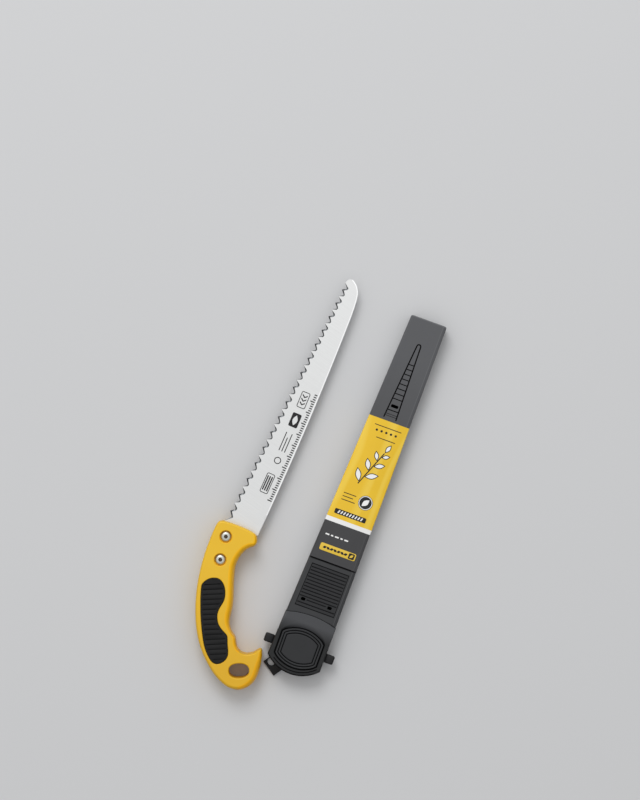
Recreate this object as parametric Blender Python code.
"""Pruning saw and its scabbard, laid side by side on a table.

Sizes are in millimetres and become metres when a mesh or a place is set. The saw and the scabbard each
have a frame of their own: x across, y towards the tip, z up, and z = 0 on the plane between their halves.
"""

import math

import bmesh
import bpy
from mathutils import Matrix, Vector

MM = 0.001

# Fits that all pieces share
SEAT_GAP = 0.3
RUN_GAP = 0.2
OVERCUT = 2.0
ROUND_SEGMENTS = 28
SCREW_SEGMENTS = 20
MERGE_DISTANCE = 0.0005
SHARP_EDGE_DEG = 32.0

# Where the two pieces lie
SAW_TO_SCABBARD = (-100.8, 101.6)
SAW_TURN_DEG = -2.0

# Blade
BLADE_LENGTH = 271.0
BLADE_THICKNESS = 1.5
HEEL_X = -17.3
TOE_X = 4.6
SPINE_HEEL_X = 18.8
SPINE_TOE_X = 23.2
SPINE_BOW = 2.0
TOOTH_COUNT = 31
TOOTH_DEPTH = 3.9
PITCH_PROGRESSION = 0.11
FIRST_GULLET = 5.0
LAST_GULLET_TO_TIP = 10.1
TIP_X = 10.0
NOSE_LENGTH = 34.6
# One tooth as shares of its pitch and of the tooth depth, from gullet to gullet
TOOTH_PROFILE = ((0.0, 1.0), (0.10, 0.9), (0.53, 0.10), (0.62, 0.0), (0.90, 0.9))
# The rounded nose, as x and y from the tip
NOSE = (
    (13.2, -NOSE_LENGTH), (12.4, -20.6), (10.6, -10.6), (7.0, -4.6), (3.4, -1.4), (0.0, 0.0), (-3.6, -1.9),
    (-5.2, -5.6),
)

# Tang and its two bolts
BOLT_UPPER = (-10.6, -11.2)
BOLT_LOWER = (-7.2, -34.6)
TANG_HALF_WIDTH = 8.0
TANG_SHOULDER = (10.8, -5.0)
SPINE_ROOT_Y = 1.6
SHANK_RADIUS = 2.5
HEAD_RADIUS = 4.8
HEAD_RIM = 1.0
HEAD_DOME = 1.6
SOCKET_RADIUS = 2.3
SOCKET_DEPTH = 1.7
COUNTERBORE_RADIUS = 5.9
COUNTERBORE_DEPTH = 3.6
NUT_BARREL_RADIUS = 3.8
NUT_FLANGE_THICKNESS = 2.0
NUT_BORE_DEPTH = 7.0

# Handle: outline points as x, y and the width of the rounded edge there
HANDLE_THICKNESS = 26.0
HANDLE_FRONT = 3.6
HANDLE_STEPS = 3
HANDLE_OUTLINE = (
    (-24.2, -6.0, 2.2), (-23.3, -0.8, 1.8), (-20.6, 1.5, 1.6), (-15.0, 3.0, 1.6), (0.0, 3.6, 1.6),
    (11.0, 2.9, 1.8), (16.4, 1.4, 2.2), (19.3, -2.4, 3.4), (20.4, -6.2, 4.6), (19.0, -9.8, 5.0),
    (15.4, -13.0, 5.4), (11.9, -18.2, 5.6), (9.8, -25.0, 5.6), (9.1, -32.5, 5.6), (10.0, -39.2, 5.4),
    (14.4, -52.5, 5.0), (19.4, -66.0, 5.0), (22.2, -76.0, 5.2), (23.6, -86.0, 5.2), (26.2, -93.0, 4.6),
    (31.0, -98.4, 3.6), (35.6, -101.4, 3.0), (38.6, -106.6, 3.4), (42.2, -111.2, 3.2), (47.6, -113.1, 3.0),
    (53.2, -112.1, 2.8), (58.4, -108.6, 2.4), (61.2, -104.8, 1.8), (63.6, -103.0, 1.5), (66.0, -104.9, 1.8),
    (69.4, -116.0, 3.4), (70.7, -128.0, 4.2), (69.5, -136.2, 4.8), (66.0, -142.6, 5.0), (60.0, -148.0, 5.0),
    (52.0, -150.3, 4.8), (43.0, -149.2, 4.2), (31.0, -144.0, 3.4), (19.5, -135.6, 2.8), (8.0, -124.5, 2.6),
    (-2.0, -110.5, 2.6), (-10.5, -93.5, 2.6), (-17.0, -75.0, 2.6), (-21.2, -57.0, 2.6), (-23.8, -38.0, 2.6),
    (-24.6, -20.0, 2.4),
)
FILLET_SEGMENTS = 3

# Ribbed rubber inlays
INLAY_DEPTH = 2.4
INLAY_BELOW_FACE = 0.2
INLAY_STEPS = 2
INLAY_OUTLINE = (
    (-3.0, -52.7), (2.2, -53.8), (7.0, -58.0), (10.6, -65.0), (11.7, -72.0), (10.5, -80.0), (11.0, -87.0),
    (15.0, -94.4), (21.0, -98.9), (27.6, -102.4), (31.0, -109.4), (35.6, -119.6), (34.6, -127.0),
    (30.0, -132.0), (24.4, -132.9), (18.0, -129.0), (9.4, -119.6), (0.0, -103.0), (-7.6, -86.6),
    (-14.0, -69.4), (-14.6, -62.4), (-9.8, -55.6),
)
RIB_PITCH = 4.7
RIB_GROOVE = 1.7
RIB_DEPTH = 1.1
RIB_SLOPE_DEG = 23.0
RIB_COUNT = 17
RIB_FIRST_AT = (-4.1, -56.0)
RIB_LEAN = 0.42

# Lanyard hole in the butt
LANYARD_AT = (51.6, -130.6)
LANYARD_LENGTH = 20.4
LANYARD_WIDTH = 14.6
LANYARD_SLOPE_DEG = 24.0
LANYARD_SQUARENESS = 2.3

# Screws that join the handle halves from the back
HANDLE_SCREWS = {"handle_screw_upper": (-3.6, -46.8), "handle_screw_butt": (36.0, -138.6)}
SCREW_RADIUS = 1.7
SCREW_HEAD_RADIUS = 3.2
SCREW_HEAD_HEIGHT = 1.8
SCREW_HEAD_RIM = 1.0
SCREW_SLOT = 0.7
SCREW_SINK = 3.0
SCREW_BITE = 7.0

# Scabbard: width follows the blade, straight on the spine side
SCABBARD_END = 363.0
LEFT_AT_MOUTH = -32.0
LEFT_AT_END = -13.2
RIGHT_AT_MOUTH = 22.3
RIGHT_AT_END = 24.3
WALL = 2.2
BODY_HALF = 8.4
COLLAR_HALF = 9.0
MOUTH_HALF = 9.4
BODY_START = 101.0
EDGE_ROUND = 1.6
TIP_CORNER = 1.8
RAIL_WIDTH = 3.0
RAIL_FROM_END = 11.0
RAIL_INSET = 6.0

# Tapered ladder pressed into the front face near the blind end, with a drain hole between its rungs
LADDER_FROM_END = 25.5
LADDER_LENGTH = 80.0
LADDER_BASE_X = 1.85
LADDER_TOP_X = 4.5
LADDER_BASE_HALF = 6.85
LADDER_TOP_HALF = 2.4
LADDER_LINE = 0.9
LADDER_DEPTH = 0.5
RUNG_COUNT = 8
RUNG_PITCH = 5.3
RUNG_START = 20.5
RUNG_SIDE_GAP = 0.4
DRAIN_UP = 13.0
DRAIN_SIZE = (7.5, 3.0)

# Screws at the blind end, beyond the blade's reach
TAIL_SCREW_FROM_END = 12.0
TAIL_SCREW_FROM_SIDE = 9.0
TAIL_BOSS_RADIUS = 3.6

# Label, stripe and accent strip, let into the front face
LABEL_RANGE = (146.0, 255.0)
STRIPE_WIDTH = 5.0
LABEL_INSET = 1.7
INSERT_POCKET = 0.6
INSERT_THICKNESS = 0.4
ACCENT_RANGE = (110.7, 118.7)
ACCENT_INSET = 5.4
ACCENT_CORNER = 1.5

# Ribbed collar
COLLAR_START = 41.6
COLLAR_ARCH = 4.0
PANEL_RANGE = (50.5, 99.0)
PANEL_INSET = 6.6
PANEL_RIB_PITCH = 3.4
PANEL_GROOVE = 1.7
PANEL_DEPTH = 0.9
SIGHT_HOLES_X = (-18.0, 10.0)
SIGHT_HOLES_Y = 58.7
SIGHT_HOLE_SIZE = (4.5, 3.2)

# Mouth with its two rollers
MOUTH_BOTTOM = -4.8
MOUTH_BULGE = 12.0
MOUTH_FLARE = 0.5
ROLLER_Y = 10.0
ROLLER_RADIUS = 3.0
ROLLER_NIP = 0.1
ROLLER_SIDE_GAP = 0.5
ROLLER_PIN_RADIUS = 1.25
PIN_END_WALL = 0.8
STUD_RADIUS = 4.4
STUD_LENGTH = 9.0
STUD_SHANK_RADIUS = 2.0
STUD_EDGE = 0.7

# Shield on the front of the mouth
SHIELD_HALF_WIDTH = 22.2
SHIELD_LOWER_Y = -3.4
SHIELD_UPPER_Y = 24.6
SHIELD_CROWN = 6.2
SHIELD_CHIN = 6.3
SHIELD_POCKET = 0.7
SHIELD_HEIGHT = 1.8
SHIELD_BEAD = 3.2
SHIELD_GROOVE = 1.0
SHIELD_GROOVE_DEPTH = 0.6
SHIELD_STEP = 0.3
SHIELD_CORNER = 2.6

# Belt hanger that swivels behind the mouth
HANGER_AT = (-5.5, 10.0)
HANGER_REST_DEG = -34.7
HANGER_HALF_WIDTH = 8.9
HANGER_REACH = 36.9
HANGER_THICKNESS = 3.0
HANGER_CORNER = 3.0
EYE_AT = (-4.1, -30.0)
EYE_SIZE = (6.6, 7.2)
EYE_CORNER = 2.4
RIVET_RADIUS = 2.0
RIVET_HEAD_RADIUS = 4.2
RIVET_HEAD_HEIGHT = 0.9

# Values worked out from the sizes above
HANDLE_HALF = HANDLE_THICKNESS / 2
BLADE_TIP_Y = HANDLE_FRONT + BLADE_LENGTH
NUT_MOUTH = BLADE_THICKNESS / 2 + 2 * SEAT_GAP
ROLLER_Z = BLADE_THICKNESS / 2 + ROLLER_NIP + ROLLER_RADIUS
MOUTH_WALL_Z = ROLLER_Z + ROLLER_RADIUS + SEAT_GAP
TAIL_SCREW_Y = SCABBARD_END - TAIL_SCREW_FROM_END
RAIL_ENDS = (BODY_START + RAIL_FROM_END, SCABBARD_END - RAIL_FROM_END)
LADDER_TOP_Y = SCABBARD_END - LADDER_FROM_END
LADDER_BASE_Y = LADDER_TOP_Y - LADDER_LENGTH
RIB_DIRECTION = Matrix.Rotation(math.radians(RIB_SLOPE_DEG), 4, "Z")

# Colours as linear RGB, roughness and metallic value
FINISHES = {
    "blade_steel": ((0.76, 0.76, 0.75), 0.32, 1.0),
    "handle_yellow": ((0.79, 0.47, 0.035), 0.42, 0.0),
    "inlay_rubber": ((0.02, 0.02, 0.019), 0.75, 0.0),
    "bolt_steel": ((0.62, 0.62, 0.60), 0.28, 1.0),
    "scabbard_plastic": ((0.062, 0.062, 0.065), 0.55, 0.0),
    "mouth_plastic": ((0.045, 0.045, 0.047), 0.5, 0.0),
    "label_yellow": ((0.80, 0.50, 0.04), 0.45, 0.0),
    "stripe_white": ((0.88, 0.88, 0.88), 0.45, 0.0),
    "roller_rubber": ((0.03, 0.03, 0.03), 0.8, 0.0),
    "hanger_plastic": ((0.03, 0.03, 0.031), 0.5, 0.0),
}


def clear_scene():
    for item in list(bpy.data.objects):
        bpy.data.objects.remove(item, do_unlink=True)


def finish(name):
    """The named Principled material, made once."""
    found = bpy.data.materials.get(name)
    if found:
        return found
    colour, roughness, metallic = FINISHES[name]
    made = bpy.data.materials.new(name)
    made.use_nodes = True
    shader = made.node_tree.nodes["Principled BSDF"]
    shader.inputs["Base Color"].default_value = (*colour, 1.0)
    shader.inputs["Roughness"].default_value = roughness
    shader.inputs["Metallic"].default_value = metallic
    return made


def empty(name, parent=None, at=(0.0, 0.0, 0.0), turn_deg=0.0):
    """A frame that pieces are parented to."""
    made = bpy.data.objects.new(name, None)
    made.location = Vector(at) * MM
    made.rotation_euler.z = math.radians(turn_deg)
    made.parent = parent
    bpy.context.collection.objects.link(made)
    return made


def to_object(name, bm, parent, at=(0.0, 0.0, 0.0)):
    """Turns a bmesh in millimetres into an object in metres."""
    bmesh.ops.remove_doubles(bm, verts=bm.verts, dist=MERGE_DISTANCE)
    bmesh.ops.recalc_face_normals(bm, faces=bm.faces)
    bm.transform(Matrix.Scale(MM, 4))
    mesh = bpy.data.meshes.new(name)
    bm.to_mesh(mesh)
    bm.free()
    made = bpy.data.objects.new(name, mesh)
    made.location = Vector(at) * MM
    made.parent = parent
    bpy.context.collection.objects.link(made)
    return made


def piece(name, bm, parent, finish_name, at=(0.0, 0.0, 0.0)):
    """One sub-part of the assembly."""
    made = to_object(name, bm, parent, at)
    made.data.materials.append(finish(finish_name))
    made.data.shade_smooth()
    made.data.set_sharp_from_angle(angle=math.radians(SHARP_EDGE_DEG))
    return made


def combine(target, bm, parent, operation="DIFFERENCE", at=(0.0, 0.0, 0.0)):
    """Cuts a shape out of a piece, or joins it on, with a Boolean."""
    helper = to_object(target.name + "_" + operation.lower(), bm, parent, at)
    helper.hide_render = True
    helper.display_type = "WIRE"
    boolean = target.modifiers.new(helper.name, "BOOLEAN")
    boolean.operation = operation
    boolean.solver = "EXACT"
    boolean.object = helper


def smooth_loop(points, steps):
    """A closed Catmull-Rom curve through points of any dimension."""
    points = [Vector(p) for p in points]
    count = len(points)
    curve = []
    for i in range(count):
        a, b, c, d = (points[(i + k) % count] for k in (-1, 0, 1, 2))
        for step in range(steps):
            t = step / steps
            curve.append(0.5 * (2 * b + (c - a) * t + (2 * a - 5 * b + 4 * c - d) * t ** 2
                                + (3 * b - a - 3 * c + d) * t ** 3))
    return curve


def smooth_run(points, steps):
    """An open Catmull-Rom curve from the first point to the last."""
    points = [Vector(p) for p in points]
    loop = smooth_loop([2 * points[0] - points[1], *points, 2 * points[-1] - points[-2]], steps)
    return loop[steps:-2 * steps] + [points[-1]]


def offset_loop(points, distance):
    """Moves a counter-clockwise or clockwise loop outwards by distance."""
    points = [Vector(p[:2]) for p in points]
    count = len(points)
    area = sum(points[i - 1].cross(points[i]) for i in range(count))
    outwards = distance if area > 0 else -distance
    moved = []
    for i, point in enumerate(points):
        along = (points[(i + 1) % count] - points[i - 1]).normalized()
        moved.append(point + Vector((along.y, -along.x)) * outwards)
    return moved


def arc(centre, radius, start_deg, end_deg, steps):
    angles = [math.radians(start_deg + (end_deg - start_deg) * k / steps) for k in range(steps + 1)]
    return [Vector((centre[0] + radius * math.cos(a), centre[1] + radius * math.sin(a))) for a in angles]


def circle(centre, radius, segments=ROUND_SEGMENTS):
    return arc(centre, radius, 0, 360, segments)[:-1]


def rounded_rectangle(centre, size, corner, steps=3):
    """Counter-clockwise outline of a rectangle with round corners."""
    half_x, half_y = size[0] / 2 - corner, size[1] / 2 - corner
    outline = []
    for quarter, (sx, sy) in enumerate(((1, 1), (-1, 1), (-1, -1), (1, -1))):
        corner_centre = (centre[0] + sx * half_x, centre[1] + sy * half_y)
        outline += arc(corner_centre, corner, 90 * quarter, 90 * quarter + 90, steps)
    return outline


def bowed_edge(x_from, x_to, y, rise, steps=12):
    """Points of a circular arc between two ends on one height, rising by rise in its middle."""
    half = (x_to - x_from) / 2
    radius = (half ** 2 + rise ** 2) / (2 * abs(rise))
    points = []
    for k in range(steps + 1):
        across = half * (2 * k / steps - 1)
        lift = math.sqrt(radius ** 2 - across ** 2) - (radius - abs(rise))
        points.append(Vector((x_from + half + across, y + math.copysign(lift, rise))))
    return points


def add_prism(bm, outline, bottom, top):
    """Adds a closed prism over an outline in x and y, and returns its upper face."""
    base = bm.faces.new([bm.verts.new((p[0], p[1], bottom)) for p in outline])
    extruded = bmesh.ops.extrude_face_region(bm, geom=[base])["geom"]
    verts = [g for g in extruded if isinstance(g, bmesh.types.BMVert)]
    bmesh.ops.translate(bm, verts=verts, vec=(0, 0, top - bottom))
    return next(g for g in extruded if isinstance(g, bmesh.types.BMFace))


def prism(outline, bottom, top):
    bm = bmesh.new()
    add_prism(bm, outline, bottom, top)
    return bm


def round_rim(bm, height, width, segments=2):
    """Rounds the edges of a prism that lie at one height."""
    rim = [e for e in bm.edges if all(abs(v.co.z - height) < 0.001 for v in e.verts)]
    bmesh.ops.bevel(bm, geom=rim, offset=width, segments=segments, profile=0.5, affect="EDGES",
                    clamp_overlap=True, material=-1)


def turned(profile, segments=ROUND_SEGMENTS, axis="Z"):
    """Turns a profile of radius and height, from one end on the axis to the other, into a solid."""
    bm = bmesh.new()
    verts = [bm.verts.new((radius, 0, height)) for radius, height in profile]
    edges = [bm.edges.new(pair) for pair in zip(verts, verts[1:])]
    bmesh.ops.spin(bm, geom=verts + edges, cent=(0, 0, 0), axis=(0, 0, 1), angle=2 * math.pi, steps=segments,
                   use_merge=True)
    bmesh.ops.remove_doubles(bm, verts=bm.verts, dist=MERGE_DISTANCE)
    if axis == "X":
        bm.transform(Matrix.Rotation(math.radians(90), 4, "Y"))
    return bm


def rod(radius, start, end, axis="Z", segments=ROUND_SEGMENTS):
    return turned([(0, start), (radius, start), (radius, end), (0, end)], segments, axis)


def mirror_z(bm):
    """The same shape on the other side of the plane between the halves."""
    bm.transform(Matrix.Scale(-1, 4, (0, 0, 1)))
    return bm


def on_side(bm, side):
    return bm if side > 0 else mirror_z(bm)


def build_blade(saw):
    """Steel blade: straight toothed edge, bowed spine, rounded nose and a tang with two holes."""
    outline = tang_outline(0.0) + spine_and_nose() + teeth()
    bm = prism(outline, -BLADE_THICKNESS / 2, BLADE_THICKNESS / 2)
    blade = piece("blade", bm, saw, "blade_steel")
    holes = bmesh.new()
    for bolt in (BOLT_UPPER, BOLT_LOWER):
        add_prism(holes, circle(bolt, SHANK_RADIUS + RUN_GAP), -OVERCUT, OVERCUT)
    combine(blade, holes, saw)


def bolt_line_x(y):
    """x of the line through both bolts."""
    share = (y - BOLT_UPPER[1]) / (BOLT_LOWER[1] - BOLT_UPPER[1])
    return BOLT_UPPER[0] + share * (BOLT_LOWER[0] - BOLT_UPPER[0])


def tang_outline(grow):
    """The blade's root from the heel down round the lower bolt and up to the spine, grown all round."""
    half = TANG_HALF_WIDTH + grow
    tilt = math.degrees(math.atan2(BOLT_LOWER[1] - BOLT_UPPER[1], BOLT_LOWER[0] - BOLT_UPPER[0])) + 90
    end = arc(BOLT_LOWER, half, 180 + tilt, 360 + tilt, 10)
    shoulder_x, shoulder_y = TANG_SHOULDER
    left = [Vector((HEEL_X - grow, HANDLE_FRONT)), Vector((bolt_line_x(shoulder_y) - half, shoulder_y))]
    right = [Vector((bolt_line_x(shoulder_y) + half, shoulder_y - grow)),
             Vector((shoulder_x, shoulder_y - grow)),
             Vector((SPINE_HEEL_X + grow, SPINE_ROOT_Y - grow))]
    return left + end + right


def spine_x(y):
    share = (y - HANDLE_FRONT) / (BLADE_LENGTH - NOSE_LENGTH)
    return SPINE_HEEL_X + share * (SPINE_TOE_X - SPINE_HEEL_X) + 4 * SPINE_BOW * share * (1 - share)


def spine_and_nose():
    """From the handle up the spine, round the nose, to the toothed edge."""
    steps = 12
    run = [HANDLE_FRONT + (BLADE_LENGTH - NOSE_LENGTH) * k / steps for k in range(steps)]
    spine = [Vector((spine_x(y), y)) for y in run]
    return spine + smooth_run([(TIP_X + x, BLADE_TIP_Y + y) for x, y in NOSE], 3)


def tooth_line_x(y):
    """x of the straight line that the tooth tips touch."""
    share = (y - HANDLE_FRONT) / (BLADE_LENGTH - LAST_GULLET_TO_TIP)
    return HEEL_X + share * (TOE_X - HEEL_X)


def gullet_y(number):
    """Gullets lie closer together towards the toe."""
    start = HANDLE_FRONT + FIRST_GULLET
    share = number / TOOTH_COUNT
    span = BLADE_TIP_Y - LAST_GULLET_TO_TIP - start
    return start + span * share * (1 + PITCH_PROGRESSION * (1 - share))


def teeth():
    """The toothed edge from toe to heel."""
    points = []
    for number in range(TOOTH_COUNT):
        low, high = gullet_y(number), gullet_y(number + 1)
        for along, depth in TOOTH_PROFILE:
            y = low + along * (high - low)
            points.append(Vector((tooth_line_x(y) + depth * TOOTH_DEPTH, y)))
    toe = gullet_y(TOOTH_COUNT)
    points.append(Vector((tooth_line_x(toe) + TOOTH_DEPTH, toe)))
    return points[::-1]


def handle_half(name, saw, side):
    """One handle half: a slab with a rounded rim, hollowed for the tang, the inlay and the fasteners."""
    rim = smooth_loop(HANDLE_OUTLINE, HANDLE_STEPS)
    bm = prism(rim, SEAT_GAP / 2, HANDLE_HALF)
    shell = piece(name, on_side(bm, side), saw, "handle_yellow")
    round_handle_rim(shell, rim, side)

    hollows = bmesh.new()
    above = HANDLE_FRONT + OVERCUT
    way_out = [Vector((SPINE_HEEL_X + SEAT_GAP, above)), Vector((HEEL_X - SEAT_GAP, above))]
    add_prism(hollows, tang_outline(SEAT_GAP) + way_out, -OVERCUT, BLADE_THICKNESS / 2 + SEAT_GAP)
    combine(shell, on_side(hollows, side), saw)

    pocket = smooth_loop(INLAY_OUTLINE, INLAY_STEPS)
    opened = prism(pocket, HANDLE_HALF - INLAY_DEPTH, HANDLE_HALF + OVERCUT)
    add_prism(opened, lanyard_outline(), -OVERCUT, HANDLE_HALF + OVERCUT)
    combine(shell, on_side(opened, side), saw)
    return shell


def round_handle_rim(shell, rim, side):
    """Rounds the outer rim with the width that each outline point names."""
    mesh = shell.data
    weights = mesh.attributes.new("bevel_weight_edge", "FLOAT", "EDGE")
    widest = max(point[2] for point in rim)
    face = HANDLE_HALF * MM * side
    corners = {(round(p.x, 3), round(p.y, 3)): p.z for p in rim}
    for edge in mesh.edges:
        ends = [mesh.vertices[v].co for v in edge.vertices]
        if all(abs(end.z - face) < 1e-7 for end in ends):
            widths = [corners[(round(end.x / MM, 3), round(end.y / MM, 3))] for end in ends]
            weights.data[edge.index].value = sum(widths) / 2 / widest
    bevel = shell.modifiers.new("rounded rim", "BEVEL")
    bevel.limit_method = "WEIGHT"
    bevel.width = widest * MM
    bevel.segments = FILLET_SEGMENTS


def lanyard_outline():
    """A squarish egg through the butt."""
    half_length, half_width = LANYARD_LENGTH / 2, LANYARD_WIDTH / 2
    slope = math.radians(LANYARD_SLOPE_DEG)
    points = []
    for k in range(ROUND_SEGMENTS):
        c, s = math.cos(2 * math.pi * k / ROUND_SEGMENTS), math.sin(2 * math.pi * k / ROUND_SEGMENTS)
        x = half_length * math.copysign(abs(c) ** (2 / LANYARD_SQUARENESS), c)
        y = half_width * math.copysign(abs(s) ** (2 / LANYARD_SQUARENESS), s)
        points.append(Vector((LANYARD_AT[0] + x * math.cos(slope) - y * math.sin(slope),
                              LANYARD_AT[1] + x * math.sin(slope) + y * math.cos(slope))))
    return points


def build_handle(saw):
    """Both handle halves with the holes for bolts, nuts and screws."""
    front = handle_half("handle_front_shell", saw, 1)
    back = handle_half("handle_back_shell", saw, -1)
    for bolt in (BOLT_UPPER, BOLT_LOWER):
        seat = HANDLE_HALF - COUNTERBORE_DEPTH
        for shell, side, radius in ((front, 1, SHANK_RADIUS), (back, -1, NUT_BARREL_RADIUS)):
            bore = turned([(0, -OVERCUT), (radius + RUN_GAP, -OVERCUT), (radius + RUN_GAP, seat),
                           (COUNTERBORE_RADIUS, seat), (COUNTERBORE_RADIUS, HANDLE_HALF + OVERCUT),
                           (0, HANDLE_HALF + OVERCUT)])
            combine(shell, on_side(bore, side), saw, at=(*bolt, 0))
    for place in HANDLE_SCREWS.values():
        hole = screw_hole(HANDLE_HALF - SCREW_SINK, HANDLE_HALF)
        combine(back, mirror_z(hole), saw, at=(*place, 0))
        pilot = rod(SCREW_RADIUS + RUN_GAP, -OVERCUT, SCREW_BITE + SEAT_GAP, segments=SCREW_SEGMENTS)
        combine(front, pilot, saw, at=(*place, 0))


def build_inlay(name, saw, side):
    """Rubber pad let into a handle half, grooved across."""
    floor, top = HANDLE_HALF - INLAY_DEPTH + SEAT_GAP, HANDLE_HALF - INLAY_BELOW_FACE
    outline = offset_loop(smooth_loop(INLAY_OUTLINE, INLAY_STEPS), -SEAT_GAP)
    inlay = piece(name, on_side(prism(outline, floor, top), side), saw, "inlay_rubber")
    across = max(p.x for p in outline) - min(p.x for p in outline)
    grooves = bmesh.new()
    for k in range(RIB_COUNT):
        bar = rounded_rectangle((0, 0), (across, RIB_GROOVE), RIB_GROOVE / 4, 1)
        down = k * RIB_PITCH
        middle = Vector((RIB_FIRST_AT[0] + down * RIB_LEAN, RIB_FIRST_AT[1] - down, 0))
        placed = [RIB_DIRECTION @ p.to_3d() + middle for p in bar]
        add_prism(grooves, placed, top - RIB_DEPTH, top + OVERCUT)
    combine(inlay, on_side(grooves, side), saw)


def build_bolts(saw):
    """Domed socket bolts from the front, each in a flanged barrel nut from the back."""
    for name, place in (("upper", BOLT_UPPER), ("lower", BOLT_LOWER)):
        seat = HANDLE_HALF - COUNTERBORE_DEPTH + SEAT_GAP
        end = NUT_MOUTH + NUT_BORE_DEPTH - SEAT_GAP
        dome = [(HEAD_RADIUS * math.cos(a), seat + HEAD_RIM + HEAD_DOME * math.sin(a))
                for a in (math.pi / 2 * k / 4 for k in range(4))]
        profile = [(0, -end), (SHANK_RADIUS, -end), (SHANK_RADIUS, seat), (HEAD_RADIUS, seat), *dome,
                   (0, seat + HEAD_RIM + HEAD_DOME)]
        bolt = piece("blade_bolt_" + name, turned(profile), saw, "bolt_steel", at=(*place, 0))
        top = seat + HEAD_RIM + HEAD_DOME
        socket = prism(circle((0, 0), SOCKET_RADIUS, 6), top - SOCKET_DEPTH, top + OVERCUT)
        combine(bolt, socket, saw, at=(*place, 0))
        build_nut("barrel_nut_" + name, saw, place)


def build_nut(name, saw, place):
    """Flanged sleeve nut whose bore takes the bolt's shank."""
    flange = HANDLE_HALF - COUNTERBORE_DEPTH + SEAT_GAP
    bore = SHANK_RADIUS + RUN_GAP
    floor = NUT_MOUTH + NUT_BORE_DEPTH
    profile = [(0, flange + NUT_FLANGE_THICKNESS), (HEAD_RADIUS, flange + NUT_FLANGE_THICKNESS),
               (HEAD_RADIUS, flange), (NUT_BARREL_RADIUS, flange), (NUT_BARREL_RADIUS, NUT_MOUTH),
               (bore, NUT_MOUTH), (bore, floor), (0, floor)]
    nut = piece(name, mirror_z(turned(profile)), saw, "bolt_steel", at=(*place, 0))
    outside = flange + NUT_FLANGE_THICKNESS
    slot = prism(circle((0, 0), SOCKET_RADIUS, 6), outside - SOCKET_DEPTH / 2, outside + OVERCUT)
    combine(nut, mirror_z(slot), saw, at=(*place, 0))


def screw(name, parent, place, head_z, tip_z):
    """Round-headed screw that stands on its head: head towards the table, tip up."""
    face = head_z - SCREW_HEAD_HEIGHT
    dome = SCREW_HEAD_HEIGHT - SCREW_HEAD_RIM
    profile = [(0, face), (SCREW_HEAD_RADIUS - dome, face), (SCREW_HEAD_RADIUS, head_z - SCREW_HEAD_RIM),
               (SCREW_HEAD_RADIUS, head_z), (SCREW_RADIUS, head_z), (SCREW_RADIUS, tip_z - SCREW_RADIUS),
               (0, tip_z)]
    made = piece(name, turned(profile, SCREW_SEGMENTS), parent, "bolt_steel", at=(*place, 0))
    cross = rounded_rectangle((0, 0), (SCREW_HEAD_RADIUS, SCREW_SLOT), SCREW_SLOT / 4, 1)
    for turn in (0, 90):
        slot = prism(cross, face - OVERCUT, face + SCREW_HEAD_RIM)
        slot.transform(Matrix.Rotation(math.radians(turn), 4, "Z"))
        combine(made, slot, parent, at=(*place, 0))


def side_x(y, right):
    """x of the scabbard's left or right side at height y."""
    share = y / SCABBARD_END
    if right:
        return RIGHT_AT_MOUTH + share * (RIGHT_AT_END - RIGHT_AT_MOUTH)
    return LEFT_AT_MOUTH + share * (LEFT_AT_END - LEFT_AT_MOUTH)


def band(low, high, inset):
    """The scabbard's outline between two heights, with both sides moved in."""
    return [Vector((side_x(low, False) + inset, low)), Vector((side_x(low, True) - inset, low)),
            Vector((side_x(high, True) - inset, high)), Vector((side_x(high, False) + inset, high))]


def body_outline():
    """The long part, with small round corners at the blind end."""
    low = BODY_START + SEAT_GAP / 2
    right, left = side_x(SCABBARD_END, True) - TIP_CORNER, side_x(SCABBARD_END, False) + TIP_CORNER
    top = SCABBARD_END - TIP_CORNER
    corners = arc((right, top), TIP_CORNER, 0, 90, 4) + arc((left, top), TIP_CORNER, 90, 180, 4)
    return band(low, top, 0.0)[:2] + corners


def tail_screw_places():
    return {"tail_screw_left": (side_x(TAIL_SCREW_Y, False) + TAIL_SCREW_FROM_SIDE, TAIL_SCREW_Y),
            "tail_screw_right": (side_x(TAIL_SCREW_Y, True) - TAIL_SCREW_FROM_SIDE, TAIL_SCREW_Y)}


def half_tray(name, scabbard, side, outline, half, cavity, cavity_z, finish_name):
    """A tray with a rounded rim, open towards the other half."""
    bm = prism(outline, SEAT_GAP / 2, half)
    round_rim(bm, half, EDGE_ROUND)
    tray = piece(name, on_side(bm, side), scabbard, finish_name)
    combine(tray, on_side(prism(cavity, -OVERCUT, cavity_z), side), scabbard)
    return tray


def build_body(scabbard):
    """Front and back body shells, screwed together at the blind end."""
    inner = BODY_HALF - WALL
    cavity = band(BODY_START - OVERCUT, SCABBARD_END - WALL, WALL)
    shape = (body_outline(), BODY_HALF, cavity, inner, "scabbard_plastic")
    front = half_tray("scabbard_front_shell", scabbard, 1, *shape)
    back = half_tray("scabbard_back_shell", scabbard, -1, *shape)
    bosses = bmesh.new()
    for place in tail_screw_places().values():
        add_prism(bosses, circle(place, TAIL_BOSS_RADIUS, SCREW_SEGMENTS), SEAT_GAP / 2, inner + WALL / 2)
    combine(back, mirror_z(bosses.copy()), scabbard, "UNION")
    combine(front, bosses, scabbard, "UNION")
    combine(back, mirror_z(rails()), scabbard, "UNION")
    for name, place in tail_screw_places().items():
        seat = BODY_HALF - SCREW_HEAD_HEIGHT - SEAT_GAP
        tip = inner - SEAT_GAP
        combine(back, mirror_z(screw_hole(seat, BODY_HALF)), scabbard, at=(*place, 0))
        pilot = rod(SCREW_RADIUS + RUN_GAP, -OVERCUT, tip + SEAT_GAP, segments=SCREW_SEGMENTS)
        combine(front, pilot, scabbard, at=(*place, 0))
        screw(name, scabbard, place, -(seat + SEAT_GAP), tip)
    build_inserts(scabbard, front)


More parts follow.
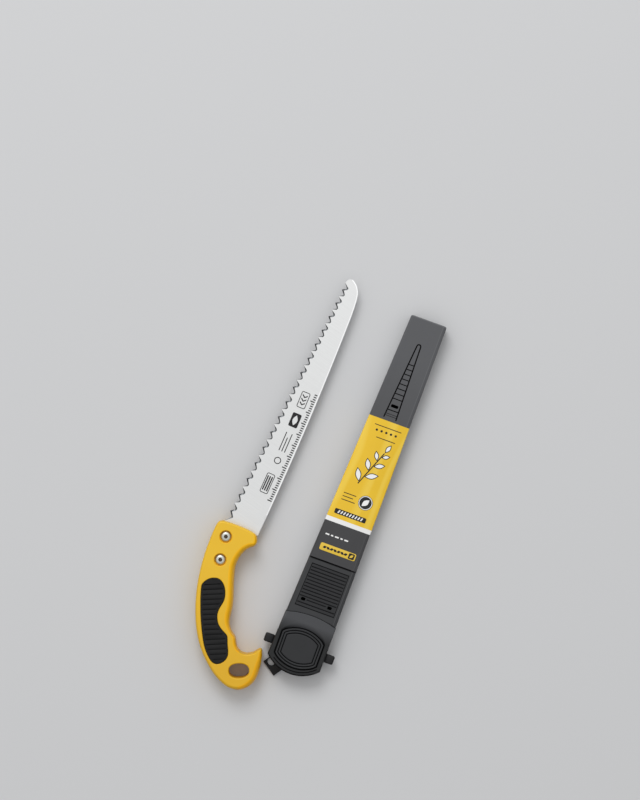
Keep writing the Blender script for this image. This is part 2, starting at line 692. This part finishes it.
def rails():
    """Two stiffening rails along the back, which the scabbard lies on."""
    bm = bmesh.new()
    for right, inwards in ((False, 1), (True, -1)):
        outer = [Vector((side_x(y, right) + inwards * RAIL_INSET, y)) for y in RAIL_ENDS]
        inner = [point + Vector((inwards * RAIL_WIDTH, 0)) for point in outer]
        add_prism(bm, outer + inner[::-1], BODY_HALF - WALL / 2, HANDLE_HALF)
    return bm


def screw_hole(seat, face):
    """Clearance hole with a recess for the head, from the parting plane out to the face."""
    wide, narrow = SCREW_HEAD_RADIUS + RUN_GAP, SCREW_RADIUS + RUN_GAP
    return turned([(0, -OVERCUT), (narrow, -OVERCUT), (narrow, seat), (wide, seat), (wide, face + OVERCUT),
                   (0, face + OVERCUT)], SCREW_SEGMENTS)


def build_inserts(scabbard, front):
    """Label, white stripe and accent strip, each in a shallow pocket of the front face."""
    stripe_low = LABEL_RANGE[0] - STRIPE_WIDTH
    accent = accent_outline(0.0)
    floor, above = BODY_HALF - INSERT_POCKET, BODY_HALF + OVERCUT
    pockets = prism(band(stripe_low, LABEL_RANGE[1], LABEL_INSET), floor, above)
    add_prism(pockets, accent, floor, above)
    drain_y = LADDER_BASE_Y + DRAIN_UP
    drain = rounded_rectangle((ladder_at(drain_y)[0], drain_y), DRAIN_SIZE, DRAIN_SIZE[1] / 3)
    add_prism(pockets, drain, -OVERCUT, above)
    combine(front, pockets, scabbard)
    combine(front, ladder(), scabbard)
    low = floor + SEAT_GAP
    high = low + INSERT_THICKNESS
    inset = LABEL_INSET + SEAT_GAP
    middle = LABEL_RANGE[0]
    label = prism(band(middle + SEAT_GAP / 2, LABEL_RANGE[1] - SEAT_GAP, inset), low, high)
    piece("label_band", label, scabbard, "label_yellow")
    stripe = prism(band(stripe_low + SEAT_GAP, middle - SEAT_GAP / 2, inset), low, high)
    piece("label_stripe", stripe, scabbard, "stripe_white")
    piece("accent_strip", prism(accent_outline(SEAT_GAP), low, high), scabbard, "label_yellow")


def ladder_at(y):
    """Middle and half width of the ladder at height y."""
    share = (y - LADDER_BASE_Y) / (LADDER_LENGTH - LADDER_TOP_HALF)
    return (LADDER_BASE_X + share * (LADDER_TOP_X - LADDER_BASE_X),
            LADDER_BASE_HALF + share * (LADDER_TOP_HALF - LADDER_BASE_HALF))


def ladder():
    """Shallow grooves: two converging sides that meet in a round top, and the rungs between them."""
    low, high = BODY_HALF - LADDER_DEPTH, BODY_HALF + OVERCUT
    bm = bmesh.new()
    outer, inner = ladder_side(0.0), ladder_side(LADDER_LINE)
    add_prism(bm, outer + inner[::-1], low, high)
    for k in range(RUNG_COUNT):
        y = LADDER_BASE_Y + RUNG_START + k * RUNG_PITCH
        middle, half = ladder_at(y)
        width = 2 * (half - LADDER_LINE - RUNG_SIDE_GAP)
        add_prism(bm, rounded_rectangle((middle, y), (width, LADDER_LINE), LADDER_LINE / 4, 1), low, high)
    return bm


def ladder_side(inset):
    """One edge of the ladder's side groove, from the left foot over the top to the right foot."""
    top = LADDER_TOP_Y - LADDER_TOP_HALF
    middle, half = ladder_at(LADDER_BASE_Y)
    left, right = (Vector((middle + sign * (half - inset), LADDER_BASE_Y)) for sign in (-1, 1))
    return [left, *arc((ladder_at(top)[0], top), LADDER_TOP_HALF - inset, 180, 0, 8), right]


def accent_outline(inset):
    low, high = ACCENT_RANGE
    middle = (low + high) / 2
    left, right = side_x(middle, False) + ACCENT_INSET, side_x(middle, True) - ACCENT_INSET
    size = (right - left - 2 * inset, high - low - 2 * inset)
    return rounded_rectangle(((left + right) / 2, middle), size, ACCENT_CORNER)


def collar_outline():
    """Between the mouth and the body; its lower edge arches up."""
    low = COLLAR_START + SEAT_GAP / 2
    arch = bowed_edge(side_x(low, False), side_x(low, True), low, COLLAR_ARCH)
    return [*arch, *band(low, BODY_START - SEAT_GAP / 2, 0.0)[2:]]


def build_collar(scabbard):
    """Ribbed hold behind the mouth, as a front and a back half."""
    cavity = band(MOUTH_BOTTOM, BODY_START + OVERCUT, WALL)
    inner = BODY_HALF - WALL
    shape = (collar_outline(), COLLAR_HALF, cavity, inner, "mouth_plastic")
    front = half_tray("collar_front", scabbard, 1, *shape)
    half_tray("collar_back", scabbard, -1, *shape)
    low, high = PANEL_RANGE
    above = COLLAR_HALF + OVERCUT
    grooves = bmesh.new()
    for k in range(int((high - low) / PANEL_RIB_PITCH)):
        y = low + PANEL_RIB_PITCH * k
        add_prism(grooves, band(y, y + PANEL_GROOVE, PANEL_INSET), COLLAR_HALF - PANEL_DEPTH, above)
    combine(front, grooves, scabbard)
    holes = bmesh.new()
    for x in SIGHT_HOLES_X:
        hole = rounded_rectangle((x, SIGHT_HOLES_Y), SIGHT_HOLE_SIZE, SIGHT_HOLE_SIZE[1] / 3)
        add_prism(holes, hole, -OVERCUT, above)
    combine(front, holes, scabbard)


def mouth_side_x(y, right):
    return side_x(y, right) + (MOUTH_FLARE if right else -MOUTH_FLARE)


def mouth_outline():
    """Round towards the opening, arched towards the collar."""
    high = COLLAR_START - SEAT_GAP / 2
    low_left, low_right = mouth_side_x(MOUTH_BOTTOM, False), mouth_side_x(MOUTH_BOTTOM, True)
    high_left, high_right = mouth_side_x(high, False), mouth_side_x(high, True)
    bottom = bowed_edge(low_left, low_right, MOUTH_BOTTOM, -MOUTH_BULGE)
    top = bowed_edge(high_left, high_right, high, COLLAR_ARCH)
    return bottom + top[::-1]


def build_mouth(scabbard):
    """Mouth halves that carry the rollers, the studs, the shield and the hanger's rivet."""
    low, high = MOUTH_BOTTOM - MOUTH_BULGE - OVERCUT, COLLAR_START + COLLAR_ARCH + OVERCUT
    cavity = band(low, high, WALL - MOUTH_FLARE)
    shape = (mouth_outline(), MOUTH_HALF, cavity, MOUTH_WALL_Z, "mouth_plastic")
    left, right = (mouth_side_x(ROLLER_Y, is_right) for is_right in (False, True))
    halves = {}
    for name, side in (("mouth_front", 1), ("mouth_back", -1)):
        halves[side] = half_tray(name, scabbard, side, *shape)
        combine(halves[side], on_side(pin_notches(), side), scabbard)
        stud_hole = rod(STUD_SHANK_RADIUS + RUN_GAP, left - OVERCUT, right + OVERCUT, "X", SCREW_SEGMENTS)
        combine(halves[side], stud_hole, scabbard, at=(0, ROLLER_Y, 0))
    pocket = prism(shield_outline(SEAT_GAP), MOUTH_HALF - SHIELD_POCKET, MOUTH_HALF + OVERCUT)
    combine(halves[1], pocket, scabbard)
    hole = rod(RIVET_RADIUS + RUN_GAP, MOUTH_WALL_Z - OVERCUT, MOUTH_HALF + OVERCUT, segments=SCREW_SEGMENTS)
    combine(halves[-1], mirror_z(hole), scabbard, at=(*HANGER_AT, 0))


def pin_notches():
    """Slots in the side walls, open towards the other half, that the roller pin drops into."""
    reach = ROLLER_PIN_RADIUS + RUN_GAP
    profile = [(-reach, -OVERCUT), (reach, -OVERCUT), *arc((0, ROLLER_Z), reach, 0, 180, 8)]
    low, high = mouth_side_x(ROLLER_Y, False) + PIN_END_WALL, mouth_side_x(ROLLER_Y, True) - PIN_END_WALL
    bm = prism(profile, low, high)
    bm.transform(Matrix(((0, 0, 1, 0), (1, 0, 0, ROLLER_Y), (0, 1, 0, 0), (0, 0, 0, 1))))
    return bm


def build_rollers(scabbard):
    """Two rollers that the blade passes between, each on its own pin."""
    left, right = mouth_side_x(ROLLER_Y, False), mouth_side_x(ROLLER_Y, True)
    inner_left, inner_right = left + WALL + ROLLER_SIDE_GAP, right - WALL - ROLLER_SIDE_GAP
    bore = ROLLER_PIN_RADIUS + RUN_GAP
    for name, side in (("front", 1), ("back", -1)):
        place = (0, ROLLER_Y, side * ROLLER_Z)
        tube = turned([(bore, inner_left), (bore, inner_right), (ROLLER_RADIUS, inner_right),
                       (ROLLER_RADIUS, inner_left), (bore, inner_left)], axis="X")
        piece("roller_" + name, tube, scabbard, "roller_rubber", at=place)
        ends = PIN_END_WALL + SEAT_GAP
        pin = rod(ROLLER_PIN_RADIUS, left + ends, right - ends, "X", SCREW_SEGMENTS)
        piece("roller_pin_" + name, pin, scabbard, "bolt_steel", at=place)


def build_studs(scabbard):
    """Strap studs on both sides of the mouth."""
    for name, right in (("left", False), ("right", True)):
        sign = 1 if right else -1
        wall = abs(mouth_side_x(ROLLER_Y, right))
        root = wall - WALL + SEAT_GAP
        face = wall + SEAT_GAP
        end = face + STUD_LENGTH
        profile = [(0, root), (STUD_SHANK_RADIUS, root), (STUD_SHANK_RADIUS, face), (STUD_RADIUS, face),
                   (STUD_RADIUS, end - STUD_EDGE), (STUD_RADIUS - STUD_EDGE, end), (0, end)]
        bm = turned(profile, axis="X")
        if sign < 0:
            bm.transform(Matrix.Scale(-1, 4, (1, 0, 0)))
        piece("strap_stud_" + name, bm, scabbard, "mouth_plastic", at=(0, ROLLER_Y, 0))


def shield_outline(grow):
    """Shield with an arched crown and a round chin, grown all round."""
    middle = (mouth_side_x(ROLLER_Y, False) + mouth_side_x(ROLLER_Y, True)) / 2
    left, right = middle - SHIELD_HALF_WIDTH, middle + SHIELD_HALF_WIDTH
    low, high = SHIELD_LOWER_Y + SHIELD_CORNER, SHIELD_UPPER_Y - SHIELD_CORNER
    crown = bowed_edge(left + SHIELD_CORNER, right - SHIELD_CORNER, SHIELD_UPPER_Y, SHIELD_CROWN)
    chin = bowed_edge(left + SHIELD_CORNER, right - SHIELD_CORNER, SHIELD_LOWER_Y, -SHIELD_CHIN)
    right_side = [Vector((right, low)), Vector((right, high))]
    left_side = [Vector((left, high)), Vector((left, low))]
    return offset_loop(chin + right_side + crown[::-1] + left_side, grow)


def build_shield(scabbard):
    """Raised plate with a bead, a groove and a flat field."""
    low = MOUTH_HALF - SHIELD_POCKET + SEAT_GAP
    bm = bmesh.new()
    field = add_prism(bm, shield_outline(0.0), low, low + SHIELD_HEIGHT)
    steps = ((SHIELD_BEAD, 0.0), (SHIELD_STEP, SHIELD_GROOVE_DEPTH), (SHIELD_GROOVE, 0.0),
             (SHIELD_STEP, -SHIELD_GROOVE_DEPTH))
    for width, drop in steps:
        bmesh.ops.inset_region(bm, faces=[field], thickness=width, depth=0.0, use_even_offset=True)
        bmesh.ops.translate(bm, verts=list(field.verts), vec=(0, 0, -drop))
    piece("shield_plate", bm, scabbard, "mouth_plastic")


def build_hanger(scabbard):
    """Belt hanger on a rivet behind the mouth; its eye shows past the mouth."""
    pivot = empty("hanger_pivot", scabbard, (*HANGER_AT, 0), HANGER_REST_DEG)
    top = -(MOUTH_HALF + SEAT_GAP)
    bottom = top - HANGER_THICKNESS
    half, reach = HANGER_HALF_WIDTH, HANGER_REACH
    corner_x, corner_y = half - HANGER_CORNER, HANGER_CORNER - reach
    outline = [*arc((0, 0), half, 0, 180, 12), *arc((-corner_x, corner_y), HANGER_CORNER, 180, 270, 4),
               *arc((corner_x, corner_y), HANGER_CORNER, 270, 360, 4)]
    hanger = piece("belt_hanger", prism(outline, bottom, top), pivot, "hanger_plastic")
    opened = prism(rounded_rectangle(EYE_AT, EYE_SIZE, EYE_CORNER), bottom - OVERCUT, top + OVERCUT)
    combine(hanger, opened, pivot)
    recess = bottom + RIVET_HEAD_HEIGHT + 2 * SEAT_GAP
    wide, narrow = RIVET_HEAD_RADIUS + RUN_GAP, RIVET_RADIUS + RUN_GAP
    bore = turned([(0, bottom - OVERCUT), (wide, bottom - OVERCUT), (wide, recess), (narrow, recess),
                   (narrow, top + OVERCUT), (0, top + OVERCUT)], SCREW_SEGMENTS)
    combine(hanger, bore, pivot)
    head = recess - SEAT_GAP
    face = head - RIVET_HEAD_HEIGHT
    end = -MOUTH_WALL_Z - SEAT_GAP
    profile = [(0, face), (RIVET_HEAD_RADIUS, face), (RIVET_HEAD_RADIUS, head), (RIVET_RADIUS, head),
               (RIVET_RADIUS, end), (0, end)]
    piece("hanger_rivet", turned(profile, SCREW_SEGMENTS), scabbard, "bolt_steel", at=(*HANGER_AT, 0))


def build_saw(saw):
    build_blade(saw)
    build_handle(saw)
    build_inlay("grip_inlay_front", saw, 1)
    build_inlay("grip_inlay_back", saw, -1)
    build_bolts(saw)
    for name, place in HANDLE_SCREWS.items():
        screw(name, saw, place, SCREW_SINK - HANDLE_HALF - SEAT_GAP, SCREW_BITE)


def build_scabbard(scabbard):
    build_body(scabbard)
    build_collar(scabbard)
    build_mouth(scabbard)
    build_rollers(scabbard)
    build_studs(scabbard)
    build_shield(scabbard)
    build_hanger(scabbard)


def stand_on_origin(base):
    """Moves the base frame so that the origin is under the middle of everything, on the table."""
    bpy.context.view_layer.update()
    corners = [item.matrix_world @ Vector(corner) for item in bpy.data.objects
               if item.type == "MESH" and not item.hide_render for corner in item.bound_box]
    low = Vector([min(c[i] for c in corners) for i in range(3)])
    high = Vector([max(c[i] for c in corners) for i in range(3)])
    base.location -= Vector(((low.x + high.x) / 2, (low.y + high.y) / 2, low.z))
    bpy.context.view_layer.update()


def main():
    clear_scene()
    base = empty("table_place")
    scabbard = empty("scabbard", base)
    saw = empty("saw", base, (*SAW_TO_SCABBARD, 0), SAW_TURN_DEG)
    build_saw(saw)
    build_scabbard(scabbard)
    stand_on_origin(base)
    for frame in (saw, scabbard, bpy.data.objects["hanger_pivot"]):
        print(frame.name, [round(c / MM, 3) for c in frame.matrix_world.translation])


main()
